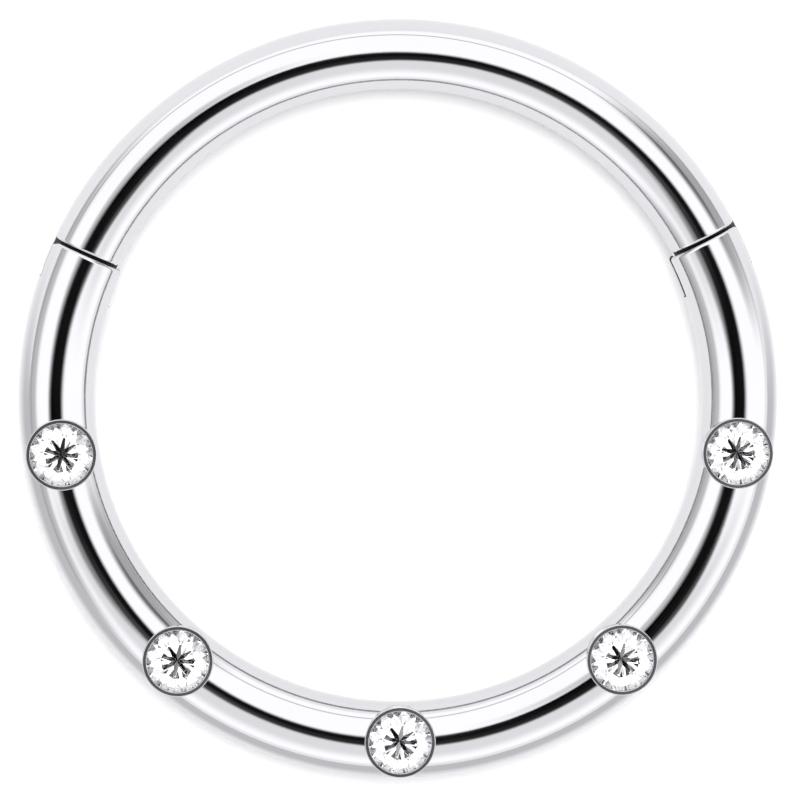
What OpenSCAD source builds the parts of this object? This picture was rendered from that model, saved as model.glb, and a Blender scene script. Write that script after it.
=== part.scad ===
// Hinged septum ring lying on its side: a polished steel hoop with five
// cup-set crystals facing up, closed by a hinged gate. Sizes are millimetres.
// The ring's axis is +Z, its centre is at x = 0, y = 0, and it rests on z = 0.

/* [Ring] */
// Clear diameter inside the hoop
inner_d = 10; // [9:0.1:12]
// Diameter of the hoop's wire
wire_d = 1.27; // [1.22:0.01:1.4]
// Diameter of the gate's wire, which passes through the piercing
gate_wire_d = 1.17; // [1.1:0.01:1.22]
// Angle of the seam beside the hinge, counted from the right
hinge_deg = 155; // [145:1:165]
// Angle of the seam at the clasp, counted from the right
clasp_deg = 27.5; // [20:0.5:40]
// Width of the hairline gap at each seam
seam_gap = 0.03; // [0.02:0.005:0.05]
// Radius on the edge of each wire end
end_round = 0.06; // [0.04:0.01:0.1]

/* [Stones] */
// Diameter of a stone at its girdle
stone_d = 1.05; // [0.95:0.01:1.1]
// Angle along the ring from one stone to the next
stone_step_deg = 40.5; // [34:0.5:42]
// Diameter of the table across its corners, as a share of the stone
table_share = 0.56; // [0.5:0.01:0.62]
// Slope of the crown's main facets
crown_deg = 34.5; // [30:0.5:38]
// Slope of the pavilion's main facets
pavilion_deg = 45; // [40:0.5:47]
// Thickness of the girdle
girdle_t = 0.025; // [0.015:0.005:0.04]
// Where the pavilion's half facets end, as a share of the way from its tip to the girdle
lower_share = 0.2; // [0.15:0.01:0.4]
// How far each stone is turned about its axis
stone_turn_deg = -11; // [-22:1:22]

/* [Cups] */
// Gap between a stone and its seat
seat_gap = 0.01; // [0.005:0.005:0.02]
// Wall of the cup beside the girdle
cup_wall = 0.05; // [0.04:0.005:0.08]
// How far the lip reaches in over the girdle
lip_over = 0.015; // [0.01:0.005:0.025]
// Height of the lip above the girdle
lip_h = 0.09; // [0.07:0.005:0.12]
// How far the lip stands above the wire
lip_rise = 0.045; // [0.02:0.005:0.08]
// Bevel on both edges of the lip
lip_bevel = 0.015; // [0.01:0.001:0.02]
// Diameter of the hole drilled under a stone's tip
drill_d = 0.13; // [0.1:0.01:0.2]

/* [Hinge and clasp] */
// Diameter of the hinge pin
pin_d = 0.26; // [0.22:0.01:0.28]
// Distance from the hoop's end face back to the pin
pin_back = 0.33; // [0.3:0.01:0.36]
// Distance from the wire's middle out to the pin
pin_out = 0.38; // [0.34:0.01:0.4]
// How far the blind pin reaches into the upper ear
pin_reach = 0.11; // [0.08:0.01:0.12]
// Gap around the pin where it is pressed into the hoop
press_gap = 0.005; // [0.003:0.001:0.008]
// Gap around the pin where the gate turns on it
turn_gap = 0.02; // [0.015:0.005:0.03]
// Width of the slot sawn in each end of the hoop
slot_w = 0.4; // [0.34:0.01:0.44]
// Gap on each face of a tongue in its slot
tongue_gap = 0.02; // [0.015:0.005:0.03]
// Gap between a tongue's tip and the bottom of its slot
tip_gap = 0.04; // [0.03:0.005:0.06]
// How far the clasp's tongue reaches past the seam into the hoop
clasp_reach = 0.66; // [0.5:0.01:0.8]

/* [Hidden] */
$fn = 96;
stone_count = 5;

steel = [0.84, 0.85, 0.87];
pin_steel = [0.72, 0.73, 0.75];
crystal = [0.93, 0.95, 0.98];

// Ring
wire_r = wire_d / 2;
gate_r = gate_wire_d / 2;
hoop_mid_r = inner_d / 2 + wire_r;
gate_mid_r = hoop_mid_r + wire_r - gate_r;
axis_z = wire_r;
half_gap = seam_gap / 2;

// Cup and seat, with heights from the wire's middle
stone_r = stone_d / 2;
seat_r = stone_r + seat_gap;
cup_r = seat_r + cup_wall;
lip_r = stone_r - lip_over;
lip_top = wire_r + lip_rise;
girdle_z = lip_top - lip_h;
pavilion_h = stone_r * tan(pavilion_deg);
culet_z = girdle_z - girdle_t - pavilion_h;
drill_r = drill_d / 2;
seat_floor = culet_z - 2 * seat_gap;

// Facets, in units of the stone's radius
facets = 8;
facet_turn = 180 / facets;
table_r = table_share;
star_r = (table_r * cos(facet_turn) + 1) / 2;
lower_r = lower_share;

// Hinge and clasp
pin_r = pin_d / 2;
pin_y = -half_gap - pin_back;
pin_top = slot_w / 2 + pin_reach;
tongue_t = slot_w - 2 * tongue_gap;
knuckle_r = wire_r - pin_out;
relief_r = pin_back + half_gap;
hinge_reach = knuckle_r - pin_y;
over = wire_d;

function arc_deg(length, r) = length / r * 180 / PI;
function stone_deg(i) = 270 + (i - (stone_count + 1) / 2) * stone_step_deg;

// A point of the stone: share of its radius, angle, height in shares of its radius
function at(r, deg, h) = stone_r * [r * cos(deg), r * sin(deg), h];
function ring_of(count, r, first, h) = [for (k = [0 : count - 1]) at(r, first + k * 360 / count, h)];
// Heights on the planes of the crown's and the pavilion's main facets
function crown_height(r, off) = (1 - r * cos(off)) * tan(crown_deg);
function pavilion_height(r, off) = -girdle_t / stone_r - (1 - r * cos(off)) * tan(pavilion_deg);

// Local frame at a seam: +X outwards, +Y into the gate, +Z up
module at_hinge() {
    translate([0, 0, axis_z]) rotate(hinge_deg) mirror([0, 1, 0])
        translate([hoop_mid_r, 0, 0]) children();
}

module at_clasp() {
    translate([0, 0, axis_z]) rotate(clasp_deg)
        translate([hoop_mid_r, 0, 0]) children();
}

// Every stone is set with its facets turned the same way
module at_stone(i) {
    translate([hoop_mid_r * cos(stone_deg(i)), hoop_mid_r * sin(stone_deg(i)), axis_z])
        rotate(stone_turn_deg) children();
}

// A stretch of round wire between two angles of the ring
module wire_arc(mid_r, r, from, to) {
    translate([0, 0, axis_z]) rotate(from) rotate_extrude(angle = to - from)
        translate([mid_r, 0]) circle(r = r);
}

// What lies outside a wire's rounded end, which is flat at y = 0 and faces +Y
module past_end(r) {
    // The rounding starts just outside the wire, so that the two surfaces cross
    start_out = end_round / 15;
    round_at = r + start_out - end_round;
    rotate([-90, 0, 0]) rotate_extrude() difference() {
        translate([0, -end_round]) square([over, end_round + over]);
        translate([0, -over]) square([round_at, over]);
        translate([round_at, -end_round]) circle(r = end_round);
    }
}

// A slab in the plane of the ring, from a given depth behind the seam's middle
module slab(thickness, depth) {
    translate([-over, -depth, -thickness / 2]) cube([2 * over, depth + over, thickness]);
}

// What is filed off the gate's wire to leave a flat tongue beyond its shoulder
module filed_off(reach) {
    translate([gate_mid_r - hoop_mid_r, half_gap, 0]) mirror([0, 1, 0]) difference() {
        past_end(gate_r);
        slab(tongue_t, over);
    }
    translate([-over, -reach - over, -over]) cube([2 * over, over, 2 * over]);
}

// What is left outside a round corner about the pin, towards +Y or -Y
module pin_corner(r, way) {
    translate([pin_out, pin_y, 0]) mirror([0, way < 0 ? 1 : 0, 0]) difference() {
        translate([0, 0, -over]) cube([over, over, 2 * over]);
        translate([0, 0, -2 * over]) cylinder(r = r, h = 4 * over);
    }
}

module pin_rod(r, top) {
    translate([pin_out, pin_y, -over]) cylinder(r = r, h = top + over);
}

// The cup's round body, from the wire's middle to its bevelled lip
module cup() {
    rotate_extrude() polygon([
        [0, 0],
        [cup_r, 0],
        [cup_r, lip_top - lip_bevel],
        [cup_r - lip_bevel, lip_top],
        [0, lip_top],
    ]);
}

// The hollow that holds a stone, open at the top
module seat() {
    under_lip_z = girdle_z + seat_gap;
    shoulder_z = girdle_z - girdle_t - seat_gap;
    rotate_extrude() polygon([
        [0, seat_floor],
        [drill_r, seat_floor],
        [drill_r, shoulder_z - (seat_r - drill_r) * tan(pavilion_deg)],
        [seat_r, shoulder_z],
        [seat_r, under_lip_z],
        [lip_r, under_lip_z + (seat_r - lip_r) * tan(crown_deg)],
        [lip_r, lip_top - lip_bevel],
        [lip_r + lip_bevel, lip_top],
        [lip_r + lip_bevel, lip_top + over],
        [0, lip_top + over],
    ]);
}

module hoop() {
    color(steel) difference() {
        union() {
            difference() {
                wire_arc(hoop_mid_r, wire_r, hinge_deg, clasp_deg + 360);
                at_hinge() translate([0, -half_gap, 0]) past_end(wire_r);
                at_clasp() translate([0, -half_gap, 0]) past_end(wire_r);
            }
            for (i = [1 : stone_count]) at_stone(i) cup();
        }
        for (i = [1 : stone_count]) at_stone(i) seat();
        at_hinge() {
            slab(slot_w, hinge_reach + tip_gap);
            pin_corner(relief_r, 1);
            pin_rod(pin_r + press_gap, pin_top + press_gap);
        }
        at_clasp() slab(slot_w, clasp_reach + tip_gap);
    }
}

module gate() {
    spare = arc_deg(over, gate_mid_r);
    color(steel) difference() {
        wire_arc(gate_mid_r, gate_r, clasp_deg - spare, hinge_deg + spare);
        at_hinge() {
            filed_off(hinge_reach);
            pin_corner(knuckle_r, -1);
            pin_rod(pin_r + turn_gap, over);
        }
        at_clasp() filed_off(clasp_reach);
    }
}

// Pressed in from behind, filed flush with the wire and blind in the upper ear
module hinge_pin() {
    color(pin_steel) intersection() {
        at_hinge() pin_rod(pin_r, pin_top);
        wire_arc(hoop_mid_r, wire_r, hinge_deg, hinge_deg + arc_deg(over, hoop_mid_r));
    }
}

// Round brilliant: table, stars, kites and halves above the girdle, mains and halves below
module stone() {
    girdle_n = 2 * facets;
    points = concat(
        ring_of(facets, table_r, 0, crown_height(table_r, 0)),
        ring_of(facets, star_r, facet_turn, crown_height(star_r, facet_turn)),
        ring_of(girdle_n, 1, 0, 0),
        ring_of(girdle_n, 1, 0, -girdle_t / stone_r),
        ring_of(facets, lower_r, facet_turn, pavilion_height(lower_r, facet_turn)),
        [at(0, 0, pavilion_height(0, 0))]
    );
    // Place in the list of points, by ring and number round the stone
    function table_at(k) = k % facets;
    function star_at(k) = facets + (k + facets) % facets;
    function top_at(k) = 2 * facets + (k + girdle_n) % girdle_n;
    function under_at(k) = 2 * facets + girdle_n + (k + girdle_n) % girdle_n;
    function lower_at(k) = 2 * facets + 2 * girdle_n + (k + facets) % facets;
    culet = 3 * facets + 2 * girdle_n;
    faces = concat(
        [[for (k = [facets - 1 : -1 : 0]) table_at(k)]],
        [for (k = [0 : facets - 1]) [table_at(k), table_at(k + 1), star_at(k)]],
        [for (k = [0 : facets - 1]) [table_at(k), star_at(k), top_at(2 * k), star_at(k - 1)]],
        [for (k = [0 : facets - 1]) [star_at(k), top_at(2 * k + 1), top_at(2 * k)]],
        [for (k = [0 : facets - 1]) [star_at(k), top_at(2 * k + 2), top_at(2 * k + 1)]],
        [for (k = [0 : girdle_n - 1]) [top_at(k), top_at(k + 1), under_at(k + 1), under_at(k)]],
        [for (k = [0 : facets - 1]) [lower_at(k), under_at(2 * k), under_at(2 * k + 1)]],
        [for (k = [0 : facets - 1]) [lower_at(k), under_at(2 * k + 1), under_at(2 * k + 2)]],
        [for (k = [0 : facets - 1]) [culet, lower_at(k - 1), under_at(2 * k), lower_at(k)]]
    );
    color(crystal) translate([0, 0, girdle_z]) polyhedron(points = points, faces = faces);
}

hoop();
gate();
hinge_pin();
for (i = [1 : stone_count])
    at_stone(i) stone();
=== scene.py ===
from math import atan2, cos, degrees, hypot, radians, sin, tan

import bpy
import numpy as np
from mathutils import Matrix, Vector


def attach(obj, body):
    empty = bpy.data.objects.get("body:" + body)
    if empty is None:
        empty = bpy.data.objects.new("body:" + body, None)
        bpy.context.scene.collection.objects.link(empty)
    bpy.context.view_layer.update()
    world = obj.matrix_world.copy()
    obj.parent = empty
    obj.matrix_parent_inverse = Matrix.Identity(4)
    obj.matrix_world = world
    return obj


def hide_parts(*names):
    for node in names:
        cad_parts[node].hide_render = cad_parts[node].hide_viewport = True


# A polished steel ring with a hinged gate and five crystals, lying on a pale
# floor in a white light tent. Pieces are modelled in millimetres and brought
# to metres when they are finished. The ring's centre is at x = 0, y = 0.

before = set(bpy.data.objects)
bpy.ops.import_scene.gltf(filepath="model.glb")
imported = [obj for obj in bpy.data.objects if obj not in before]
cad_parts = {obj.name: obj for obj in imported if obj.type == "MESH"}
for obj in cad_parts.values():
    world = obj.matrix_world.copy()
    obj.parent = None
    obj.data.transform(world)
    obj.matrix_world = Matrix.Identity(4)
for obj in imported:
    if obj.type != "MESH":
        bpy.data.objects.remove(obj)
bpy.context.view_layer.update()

MM = 0.001

# Ring, as in the part's source
WIRE_R = 0.635
GATE_R = 0.585
HOOP_MID_R = 5.635
GATE_MID_R = HOOP_MID_R + WIRE_R - GATE_R
AXIS_Z = WIRE_R
HINGE_DEG = 155
CLASP_DEG = 27.5
HALF_GAP = 0.015
END_ROUND = 0.06

# Stones, cups and seats, with heights from the wire's middle
STONE_DEGS = [189, 229.5, 270, 310.5, 351]
STONE_R = 0.525
GIRDLE_T = 0.025
CROWN_TAN = tan(radians(34.5))
PAVILION_TAN = tan(radians(45))
SEAT_GAP = 0.01
SEAT_R = STONE_R + SEAT_GAP
CUP_WALL = 0.05
CUP_R = SEAT_R + CUP_WALL
CUP_SPAN_DEG = 8
LIP_COVER = 0.015
LIP_R = STONE_R - LIP_COVER
LIP_RISE = 0.045
LIP_TOP = WIRE_R + LIP_RISE
LIP_ROUND = 0.015
GIRDLE_SUNK = 0.09
GIRDLE_Z = LIP_TOP - GIRDLE_SUNK
SEAT_FLOOR = GIRDLE_Z - GIRDLE_T - STONE_R * PAVILION_TAN - 2 * SEAT_GAP
DRILL_R = 0.065

# Hinge and clasp, as places in a seam's own directions: outwards, into the gate, up
PIN_OUT = 0.38
PIN_BACK = 0.33
PIN_R = 0.13
PIN_Y = -HALF_GAP - PIN_BACK
PIN_TOP = 0.31
PRESS_GAP = 0.005
TURN_GAP = 0.02
SLOT_W = 0.4
TONGUE_T = 0.36
TIP_GAP = 0.04
CLASP_REACH = 0.66
KNUCKLE_R = WIRE_R - PIN_OUT
RELIEF_R = PIN_BACK + HALF_GAP
HINGE_REACH = KNUCKLE_R - PIN_Y

# How far a cutting shape goes past the metal
OVER = 1.27

# Fineness of the round shapes, and what counts as the same place or direction
WIRE_SIDES = 144
ARC_STEP_DEG = 1.25
CUP_SIDES = 128
EDGE_STEPS = 8
SMOOTH_BELOW = radians(13)
MERGED = 1e-6
SLIVER = 1e-5
TOUCHING = 1e-4
SAME_WAY = 0.99


# Modelling

def only(*objects):
    """Selects these objects and nothing else; the first one is the active one."""
    bpy.ops.object.select_all(action="DESELECT")
    for obj in objects:
        obj.select_set(True)
    bpy.context.view_layer.objects.active = objects[0]


def edit(obj, mode, chosen=None):
    """Opens obj in edit mode with everything selected, or only the edges that chosen picks."""
    only(obj)
    bpy.ops.object.mode_set(mode="EDIT")
    bpy.ops.mesh.select_mode(type=mode)
    bpy.ops.mesh.select_all(action="DESELECT" if chosen else "SELECT")
    if chosen:
        done()
        for edge in obj.data.edges:
            edge.select = chosen(edge)
        bpy.ops.object.mode_set(mode="EDIT")


def done():
    bpy.ops.object.mode_set(mode="OBJECT")


def outwards(obj):
    """Merges what lies together and turns every face outwards."""
    edit(obj, "VERT")
    bpy.ops.mesh.remove_doubles(threshold=MERGED)
    bpy.ops.mesh.normals_make_consistent(inside=False)
    done()


def placed(obj, matrix):
    obj.data.transform(matrix)
    return obj


def seam_frame(deg, into_gate):
    """Directions at a seam: x outwards, y into the gate, z up."""
    turn = Matrix.Rotation(radians(deg), 4, "Z")
    flip = Matrix.Diagonal((1, into_gate, 1, 1))
    return Matrix.Translation((0, 0, AXIS_Z)) @ turn @ flip @ Matrix.Translation((HOOP_MID_R, 0, 0))


AT_HINGE = seam_frame(HINGE_DEG, -1)
AT_CLASP = seam_frame(CLASP_DEG, 1)


def block(at, low, high):
    """A box between two corners in a seam's directions."""
    bpy.ops.mesh.primitive_cube_add(size=1)
    obj = bpy.context.object
    size = [b - a for a, b in zip(low, high)]
    middle = [(a + b) / 2 for a, b in zip(low, high)]
    placed(obj, at @ Matrix.Translation(middle) @ Matrix.Diagonal((*size, 1)))
    outwards(obj)
    return obj


def rod(at, radius, low, high):
    """An upright round rod about the hinge pin's axis, in a seam's directions."""
    bpy.ops.mesh.primitive_cylinder_add(vertices=CUP_SIDES, radius=radius, depth=high - low)
    obj = bpy.context.object
    placed(obj, at @ Matrix.Translation((PIN_OUT, PIN_Y, (low + high) / 2)))
    outwards(obj)
    return obj


def apply_all(obj):
    only(obj)
    for modifier in list(obj.modifiers):
        bpy.ops.object.modifier_apply(modifier=modifier.name)


def shaped(obj, how, *tools):
    """Cuts or joins obj with the tools, which are used up."""
    for tool in tools:
        boolean = obj.modifiers.new(how.lower(), "BOOLEAN")
        boolean.operation = how
        boolean.solver = "EXACT"
        boolean.object = tool
    apply_all(obj)
    for tool in tools:
        bpy.data.objects.remove(tool)
    return obj


def wire_arc(mid_r, radius, start, end):
    """Round wire between two angles of the ring, open at both ends."""
    bpy.ops.mesh.primitive_circle_add(vertices=WIRE_SIDES, radius=radius)
    obj = bpy.context.object
    upright = Matrix.Rotation(radians(90), 4, "X")
    placed(obj, Matrix.Translation((0, 0, AXIS_Z)) @ Matrix.Rotation(radians(start), 4, "Z")
           @ Matrix.Translation((mid_r, 0, 0)) @ upright)
    steps = round((end - start) / ARC_STEP_DEG)
    edit(obj, "VERT")
    bpy.ops.mesh.spin(steps=steps, angle=-radians(end - start), center=(0, 0, 0), axis=(0, 0, 1))
    done()
    return obj


def round_end(obj, deg, rounding):
    """Fills the wire's open end at one angle of the ring and rounds its edge."""
    ahead = Vector((-sin(radians(deg)), cos(radians(deg)), 0))
    near = Vector((cos(radians(deg)), sin(radians(deg)), 0))

    def on_end(edge):
        ends = [obj.data.vertices[v].co for v in edge.vertices]
        return all(abs(p.dot(ahead)) < TOUCHING and p.dot(near) > 0 for p in ends)

    edit(obj, "EDGE", on_end)
    bpy.ops.mesh.edge_face_add()
    if rounding:
        bpy.ops.mesh.bevel(offset=rounding, segments=EDGE_STEPS, affect="EDGES")
    done()


def plain_wire(mid_r, radius, start, end, rounding):
    """Round wire between two angles of the ring, closed at both ends."""
    obj = wire_arc(mid_r, radius, start, end)
    for deg in (start, end):
        round_end(obj, deg, rounding)
    outwards(obj)
    return obj


def turned(points):
    """A closed shape turned about the z axis from a profile that starts and ends on it."""
    bpy.ops.mesh.primitive_circle_add(vertices=len(points), radius=1)
    obj = bpy.context.object
    for vertex, (r, z) in zip(obj.data.vertices, points):
        vertex.co = (r, 0, z)
    edit(obj, "EDGE", lambda edge: set(edge.vertices) == {0, len(points) - 1})
    bpy.ops.mesh.delete(type="EDGE")
    done()
    edit(obj, "VERT")
    bpy.ops.mesh.spin(steps=CUP_SIDES, angle=radians(360), center=(0, 0, 0), axis=(0, 0, 1))
    done()
    outwards(obj)
    return obj


def rounded(centre, radius, first, last):
    """Points on a quarter round, by angle from the x axis."""
    turn = [radians(first + (last - first) * k / EDGE_STEPS) for k in range(EDGE_STEPS + 1)]
    return [(centre[0] + radius * cos(a), centre[1] + radius * sin(a)) for a in turn]


def five(obj):
    """Copies of one model at the five stones, joined into one object."""
    made = []
    for deg in STONE_DEGS:
        copy = obj.copy()
        copy.data = obj.data.copy()
        bpy.context.scene.collection.objects.link(copy)
        x, y = HOOP_MID_R * cos(radians(deg)), HOOP_MID_R * sin(radians(deg))
        made.append(placed(copy, Matrix.Translation((x, y, AXIS_Z))))
    bpy.data.objects.remove(obj)
    only(*made)
    bpy.ops.object.join()
    return bpy.context.object


def cup_body():
    """The cup's outside: a straight wall up to a rounded lip."""
    lip = rounded((CUP_R - LIP_ROUND, LIP_TOP - LIP_ROUND), LIP_ROUND, 0, 90)
    return turned([(0, 0), (CUP_R, 0), *lip, (0, LIP_TOP)])


def seat_hollow():
    """What is drilled and cut out of the cup for the stone."""
    under_lip = GIRDLE_Z + SEAT_GAP
    shoulder = GIRDLE_Z - GIRDLE_T - SEAT_GAP
    lip = rounded((LIP_R + LIP_ROUND, LIP_TOP - LIP_ROUND), LIP_ROUND, 180, 90)
    return turned([
        (0, SEAT_FLOOR),
        (DRILL_R, SEAT_FLOOR),
        (DRILL_R, shoulder - (SEAT_R - DRILL_R) * PAVILION_TAN),
        (SEAT_R, shoulder),
        (SEAT_R, under_lip),
        (LIP_R, under_lip + (SEAT_R - LIP_R) * CROWN_TAN),
        *lip,
        (LIP_R + LIP_ROUND, LIP_TOP + OVER),
        (0, LIP_TOP + OVER),
    ])


def round_corner(at, radius, way):
    """What is filed off outside a round corner about the pin."""
    y_low, y_high = (PIN_Y, PIN_Y + OVER) if way > 0 else (PIN_Y - OVER, PIN_Y)
    corner = block(at, (PIN_OUT, y_low, -OVER), (PIN_OUT + OVER, y_high, OVER))
    return shaped(corner, "DIFFERENCE", rod(at, radius, -2 * OVER, 2 * OVER))


def slot(at, reach):
    """What is sawn out of the hoop's end for a tongue that reaches this far."""
    return block(at, (-OVER, -reach - TIP_GAP, -SLOT_W / 2), (OVER, OVER, SLOT_W / 2))


def gap_deg(mid_r):
    return degrees(HALF_GAP / mid_r)


def hoop_shape():
    gap = gap_deg(HOOP_MID_R)
    obj = plain_wire(HOOP_MID_R, WIRE_R, HINGE_DEG + gap, CLASP_DEG + 360 - gap, END_ROUND)
    shaped(obj, "UNION", five(cup_body()))
    return shaped(
        obj,
        "DIFFERENCE",
        five(seat_hollow()),
        slot(AT_HINGE, HINGE_REACH),
        slot(AT_CLASP, CLASP_REACH),
        round_corner(AT_HINGE, RELIEF_R, 1),
        rod(AT_HINGE, PIN_R + PRESS_GAP, -OVER, PIN_TOP + PRESS_GAP),
    )


def tongue(at, start, end, reach):
    """A flat tongue of the gate's own wire, from inside the gate to its tip."""
    obj = plain_wire(GATE_MID_R, GATE_R, start, end, 0)
    sides = block(at, (-OVER, -reach, -TONGUE_T / 2), (OVER, OVER, TONGUE_T / 2))
    return shaped(obj, "INTERSECT", sides)


def gate_shape():
    gap = gap_deg(GATE_MID_R)
    past_seam = degrees(OVER / GATE_MID_R)
    in_gate = past_seam / 4
    obj = plain_wire(GATE_MID_R, GATE_R, CLASP_DEG + gap, HINGE_DEG - gap, END_ROUND)
    knuckle = tongue(AT_HINGE, HINGE_DEG - in_gate, HINGE_DEG + past_seam, HINGE_REACH)
    shaped(knuckle, "DIFFERENCE", round_corner(AT_HINGE, KNUCKLE_R, -1))
    clasp = tongue(AT_CLASP, CLASP_DEG - past_seam, CLASP_DEG + in_gate, CLASP_REACH)
    shaped(obj, "UNION", knuckle, clasp)
    return shaped(obj, "DIFFERENCE", rod(AT_HINGE, PIN_R + TURN_GAP, -OVER, OVER))


def true_normals(mesh, mid_r, radius):
    """Shades the round wire by its true direction, and the flat tops of the lips straight up."""
    points = np.empty(len(mesh.vertices) * 3)
    mesh.vertices.foreach_get("co", points)
    points = points.reshape(-1, 3) - (0, 0, AXIS_Z)
    from_axis = np.hypot(points[:, 0], points[:, 1])
    out = from_axis - mid_r
    on_wire = abs(np.hypot(out, points[:, 2]) - radius) < 2 * TOUCHING
    on_top = abs(points[:, 2] - LIP_TOP) < TOUCHING
    true = np.stack([points[:, 0] / from_axis * out, points[:, 1] / from_axis * out, points[:, 2]], 1)
    true /= np.linalg.norm(true, axis=1, keepdims=True)
    normals = np.empty(len(mesh.loops) * 3)
    mesh.corner_normals.foreach_get("vector", normals)
    normals = normals.reshape(-1, 3)
    for face in mesh.polygons:
        ids = list(face.vertices)
        if on_wire[ids].all() and min(true[ids] @ np.array(face.normal)) > SAME_WAY:
            normals[face.loop_indices] = true[ids]
        elif on_top[ids].all():
            normals[face.loop_indices] = (0, 0, 1)
    mesh.normals_split_custom_set(normals)


def finished(obj, name, body, node, mid_r, radius):
    """Smooths a metal piece, brings it to metres and puts it in its node's place."""
    edit(obj, "VERT")
    bpy.ops.mesh.dissolve_degenerate(threshold=SLIVER)
    done()
    only(obj)
    bpy.ops.object.shade_smooth_by_angle(angle=SMOOTH_BELOW)
    weighted = obj.modifiers.new("even shading", "WEIGHTED_NORMAL")
    weighted.keep_sharp = True
    apply_all(obj)
    true_normals(obj.data, mid_r, radius)
    placed(obj, Matrix.Scale(MM, 4))
    obj.name = obj.data.name = name
    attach(obj, body)
    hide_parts(node)
    return obj


hoop = finished(hoop_shape(), "hoop_with_cups", "ring", "hoop", HOOP_MID_R, WIRE_R)
gate = finished(gate_shape(), "hinged_gate", "gate", "gate", GATE_MID_R, GATE_R)


# Materials

STEEL = (0.47, 0.47, 0.48)
# Near-black: painted shade for the gaps at the seams, on the sawn faces, which are also rougher.
SAWN_WITH_PAINTED_SHADE = (0.1, 0.1, 0.103)
CRYSTAL_IOR = 2.15
FLOOR_LIGHTER = (0.62, 0.62, 0.625)
# The darker floor tone is painted shade, for light that falls off in front of the ring.
FLOOR_PAINTED_SHADE = (0.37, 0.37, 0.375)


class Number:
    """A value in a node tree; sums, products and the like add Math nodes."""

    def __init__(self, nodes, socket):
        self.nodes = nodes
        self.socket = socket

    def math(self, operation, *others):
        node = self.nodes.add("ShaderNodeMath", {"operation": operation}, dict(enumerate((self, *others))))
        return Number(self.nodes, node.outputs[0])

    def __add__(self, other):
        return self.math("ADD", other)

    def __mul__(self, other):
        return self.math("MULTIPLY", other)

    def __sub__(self, other):
        return self.math("SUBTRACT", other)

    def __rsub__(self, other):
        return (self * -1) + other

    def __truediv__(self, other):
        return self.math("DIVIDE", other)

    def __neg__(self):
        return self * -1

    __radd__ = __add__
    __rmul__ = __mul__

    def between(self, low, high):
        """0 below low and 1 above high, with a soft step in between."""
        node = self.nodes.add(
            "ShaderNodeMapRange",
            {"interpolation_type": "SMOOTHSTEP"},
            {"Value": self, "From Min": low, "From Max": high},
        )
        return Number(self.nodes, node.outputs[0])

    def root(self):
        return self.math("SQRT")


class Nodes:
    """A node tree that is built with one method."""

    def __init__(self, tree):
        self.tree = tree
        tree.nodes.clear()

    def add(self, kind, settings=None, sockets=None):
        node = self.tree.nodes.new(kind)
        for name, value in (settings or {}).items():
            if name == "stops":
                ramp = node.color_ramp.elements
                for stop, (place, colour) in zip(ramp, value):
                    stop.position = place
                    stop.color = (*colour, 1)
            else:
                setattr(node, name, value)
        for name, value in (sockets or {}).items():
            if isinstance(value, Number):
                value = value.socket
            if isinstance(value, bpy.types.NodeSocket):
                self.tree.links.new(value, node.inputs[name])
            else:
                node.inputs[name].default_value = value
        return node

    def noise(self, place, **sockets):
        node = self.add("ShaderNodeTexNoise", None, {"Vector": place, **sockets})
        return Number(self, node.outputs["Fac"])

    def axes(self, place):
        """The x, y and z of a place or direction."""
        split = self.add("ShaderNodeSeparateXYZ", None, {0: place})
        return [Number(self, split.outputs[k]) for k in range(3)]


def material(name):
    """A new material, its node tree and the place on the object."""
    made = bpy.data.materials.new(name)
    made.use_nodes = True
    nodes = Nodes(made.node_tree)
    return made, nodes, nodes.add("ShaderNodeTexCoord").outputs["Object"]


def surface(nodes, shader):
    nodes.add("ShaderNodeOutputMaterial", None, {"Surface": shader.outputs[0]})


def polished_steel(name, colour, roughness):
    """Mirror-polished steel with the faint marks that the polishing mop leaves."""
    made, nodes, place = material(name)
    haze = nodes.noise(place, Scale=700.0, Detail=3.0, Roughness=0.5)
    marks = nodes.noise(place, Scale=9000.0, Detail=2.0, Roughness=0.6)
    duller = [c * 0.985 for c in colour]
    tone = nodes.add("ShaderNodeValToRGB", {"stops": [(0.3, duller), (0.7, colour)]},
                     {"Fac": haze.socket})
    bump = nodes.add("ShaderNodeBump", None,
                     {"Strength": 0.02, "Distance": 0.00001, "Height": marks})
    rougher = 0.03 * haze.between(0.35, 0.75)
    steel = nodes.add("ShaderNodeBsdfPrincipled", None, {
        "Base Color": tone.outputs[0],
        "Metallic": 1.0,
        "Roughness": roughness + rougher,
        "Normal": bump.outputs[0],
    })
    surface(nodes, steel)
    return made


def cut_crystal():
    """Clear hard crystal of high refraction."""
    made, nodes, place = material("clear crystal")
    cloud = nodes.noise(place, Scale=1500.0, Detail=2.0)
    tint = nodes.add("ShaderNodeValToRGB", {"stops": [
        (0.3, (0.985, 0.99, 1.0)),
        (0.7, (1.0, 1.0, 1.0)),
    ]}, {"Fac": cloud.socket})
    glass = nodes.add("ShaderNodeBsdfPrincipled", None, {
        "Base Color": tint.outputs[0],
        "Roughness": 0.0,
        "IOR": CRYSTAL_IOR,
        "Transmission Weight": 1.0,
    })
    surface(nodes, glass)
    return made


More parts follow.
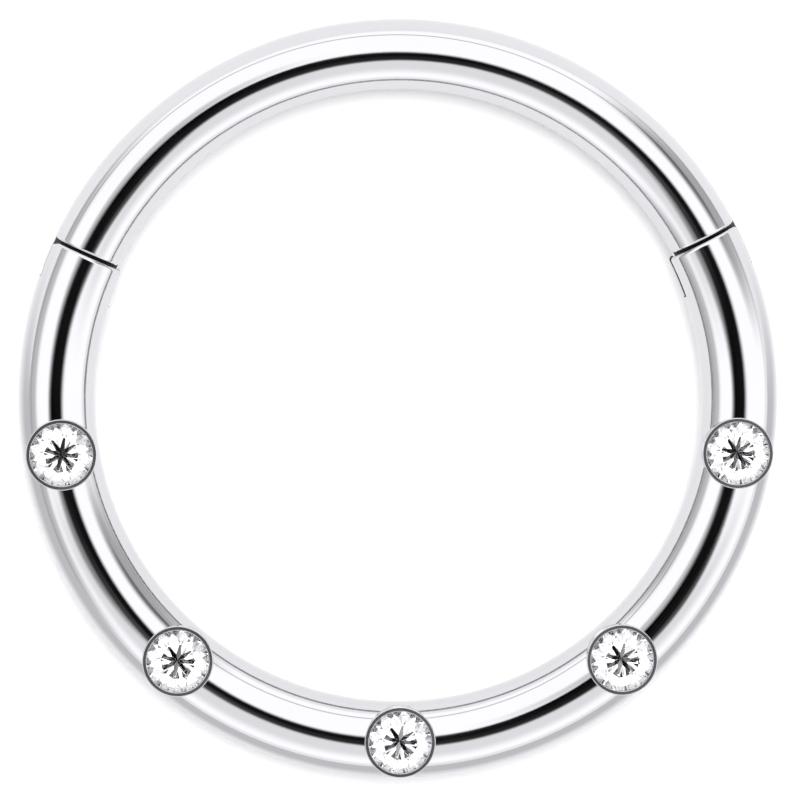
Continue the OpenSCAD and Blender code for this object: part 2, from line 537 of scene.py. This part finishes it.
def pale_floor():
    """Matt and pale, a little lighter under the ring and behind it; past the ring in front it is darker
    with painted shade, a falloff of light that shows in the steel.
    """
    made, nodes, place = material("pale floor")
    x, y, _ = nodes.axes(place)
    grain = nodes.noise(place, Scale=900.0)
    # Painted shade: the floor past the ring and in front of it is darker, standing in for light falling
    # off there.
    past_ring = (x * x + y * y).root().between(0.0062, 0.0085)
    in_front = 1 - y.between(-0.001, 0.004)
    tone = nodes.add("ShaderNodeValToRGB", {"stops": [(0.0, FLOOR_LIGHTER), (1.0, FLOOR_PAINTED_SHADE)]},
                     {"Fac": 0.95 * (past_ring * in_front) + 0.05 * grain})
    matt = nodes.add("ShaderNodeBsdfPrincipled", None, {
        "Base Color": tone.outputs[0],
        "Roughness": 0.9,
        "Specular IOR Level": 0.1,
    })
    surface(nodes, matt)
    return made


def dress(obj, *materials):
    obj.data.materials.clear()
    for made in materials:
        obj.data.materials.append(made)


def finishes_and_painted_seam_shade(obj, mid_r, radius):
    """Gives the second material, rougher steel whose near-black colour is painted shade for the seam gaps,
    to what is sawn, inside the wire, and the third to the lips.
    """
    for face in obj.data.polygons:
        x, y, z = face.center / MM
        depth = radius - hypot(hypot(x, y) - mid_r, z - AXIS_Z)
        deg = degrees(atan2(y, x)) % 360
        if any(abs(deg - stone) < CUP_SPAN_DEG for stone in STONE_DEGS):
            face.material_index = 2 * (z > AXIS_Z + LIP_TOP - LIP_ROUND)
        else:
            face.material_index = int(depth > END_ROUND)


steel = polished_steel("polished steel", STEEL, 0.05)
# The sawn faces are rougher, and their near-black colour is painted shade that darkens the seam gaps.
sawn = polished_steel("sawn steel with painted shade", SAWN_WITH_PAINTED_SHADE, 0.4)
burnished = polished_steel("burnished lip", STEEL, 0.2)
crystal = cut_crystal()
dress(hoop, steel, sawn, burnished)
dress(gate, steel, sawn)
finishes_and_painted_seam_shade(hoop, HOOP_MID_R, WIRE_R)
finishes_and_painted_seam_shade(gate, GATE_MID_R, GATE_R)
dress(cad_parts["hinge_pin"], polished_steel("pin steel", STEEL, 0.12))
for number in range(1, 6):
    dress(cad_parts[f"stone_{number}"], crystal)


# Floor, light and camera

FLOOR_R = 3
FLOOR_SIDES = 96

TENT_WHITE = 2.14
TENT_COLOUR = (0.985, 0.985, 1.0, 1)
ARC_TILT = 0.134

# Azimuth, lean from straight overhead, and power
LAMPS = ((90, 10, 2.7), (90, 40, 1.3))
LAMP_WIDTH = radians(40)

PICTURE_PIXELS = 800
PIXEL = 0.0165 * MM
RING_OFF_PIXELS = 1.5
LENS = 400
SENSOR = 36
CAMERA_LEFT = radians(2.4)
CAMERA_BACK = radians(3)

bpy.ops.mesh.primitive_circle_add(vertices=FLOOR_SIDES, radius=FLOOR_R, fill_type="NGON")
floor = bpy.context.object
floor.name = "floor"
dress(floor, pale_floor())


def light_tent():
    """White all round, with a dark patch overhead, grey fields and a grey band near the floor."""
    world = bpy.data.worlds.new("light tent")
    world.use_nodes = True
    bpy.context.scene.world = world
    nodes = Nodes(world.node_tree)
    x, y, z = nodes.axes(nodes.add("ShaderNodeTexCoord").outputs["Generated"])
    above_floor = z.between(0.0, 0.05)
    slope = z - ARC_TILT * x

    def oval(az, zenith, long_deg, wide_deg, turn, soft):
        """1 inside an oval on the dome, given by its middle and half sizes, and 0 outside."""
        x0 = sin(radians(zenith)) * cos(radians(az))
        y0 = sin(radians(zenith)) * sin(radians(az))
        c, s = cos(radians(turn)), sin(radians(turn))
        along = ((x - x0) * c + (y - y0) * s) / sin(radians(long_deg))
        across = ((y - y0) * c - (x - x0) * s) / sin(radians(wide_deg))
        reach = (along * along + across * across).root()
        return (1 - reach.between(1 - soft, 1 + soft)) * above_floor

    def zone(low, high, soft):
        """1 between two elevations above the floor, and 0 outside."""
        a, b = sin(radians(low)), sin(radians(high))
        return z.between(a - soft, a + soft) * (1 - z.between(b - soft, b + soft))

    # Each shade is how much of the white it takes away, and where
    shades = [
        # Overhead patch, a little lighter in front
        (0.995 - 0.08 * (-y).between(0.08, 0.22), oval(250, 6.5, 20, 13.5, -10, 0.36)),
        # Round the camera, which keeps the stars in the stones dark
        (0.985, oval(119, 4.9, 4.5, 3.2, 0, 0.35)),
        # Tail of the patch, to the lower right
        (0.9, oval(-40, 21, 9, 5, -40, 0.5)),
        (0.8, oval(-70, 14, 8, 7, 0, 0.5)),
        # Grey beside it, at the lower left and at the upper left
        (0.7, oval(212, 22, 12, 8, 30, 0.5)),
        (0.45, oval(150, 17, 13, 8, 60, 0.5)),
        # Thin arc behind, and the grey field at its right end
        (0.5, slope.between(0.37, 0.40) * (1 - slope.between(0.42, 0.46)) * y.between(0.3, 0.55)),
        (0.62, oval(30, 62, 17, 9, 120, 0.5)),
        (0.5, oval(33, 57, 9, 3, -57, 0.4)),
        # A grey field low at the left, and a band just above the floor
        (0.5, zone(-3, 25, 0.12) * (-x).between(0.6, 0.9)),
        (0.2, zone(-2, 10, 0.06)),
        # A light veil in front, strongest half way up
        (0.28, (-y).between(0.1, 0.4) * z.between(0.35, 0.75) * (1 - z.between(0.9, 0.99))),
    ]
    level = Number(nodes, nodes.add("ShaderNodeValue").outputs[0])
    level.socket.default_value = TENT_WHITE
    for strength, mask in shades:
        level = level * (1 - strength * mask)
    shine = nodes.add("ShaderNodeBackground", None, {"Color": TENT_COLOUR, "Strength": level})
    nodes.add("ShaderNodeOutputWorld", None, {"Surface": shine.outputs[0]})


def soft_lamps():
    """Two wide lamps, overhead and behind, which clear the floor and don't show in the steel."""
    for az, lean, power in LAMPS:
        data = bpy.data.lights.new("soft lamp", "SUN")
        data.energy = power
        data.angle = LAMP_WIDTH
        lamp = bpy.data.objects.new("soft lamp", data)
        bpy.context.scene.collection.objects.link(lamp)
        lamp.rotation_euler = (0, radians(lean), radians(az))
        lamp.visible_glossy = False
        lamp.visible_transmission = False


def photo_camera():
    """Almost straight down, leaning a little back and to the left, through a long lens."""
    data = bpy.data.cameras.new("camera")
    data.lens = LENS
    data.sensor_width = SENSOR
    distance = PICTURE_PIXELS * PIXEL * LENS / SENSOR
    x, y = -sin(CAMERA_LEFT), sin(CAMERA_BACK)
    back = Vector((x, y, (1 - x ** 2 - y ** 2) ** 0.5))
    across = Vector((0, 1, 0)).cross(back).normalized()
    upright = back.cross(across)
    camera = bpy.data.objects.new("camera", data)
    bpy.context.scene.collection.objects.link(camera)
    camera.rotation_mode = "QUATERNION"
    camera.rotation_quaternion = Matrix((across, upright, back)).transposed().to_quaternion()
    # The ring's middle is a little left of the picture's middle and as much above it
    off = RING_OFF_PIXELS * PIXEL
    centre = Vector((0, 0, AXIS_Z * MM))
    camera.location = centre + back * distance + across * off - upright * off
    data.clip_start = 0.01
    data.clip_end = 20
    bpy.context.scene.camera = camera


light_tent()
soft_lamps()
photo_camera()

scene = bpy.context.scene
scene.view_settings.view_transform = "Standard"
scene.cycles.max_bounces = 24
scene.cycles.transmission_bounces = 20
scene.cycles.glossy_bounces = 12
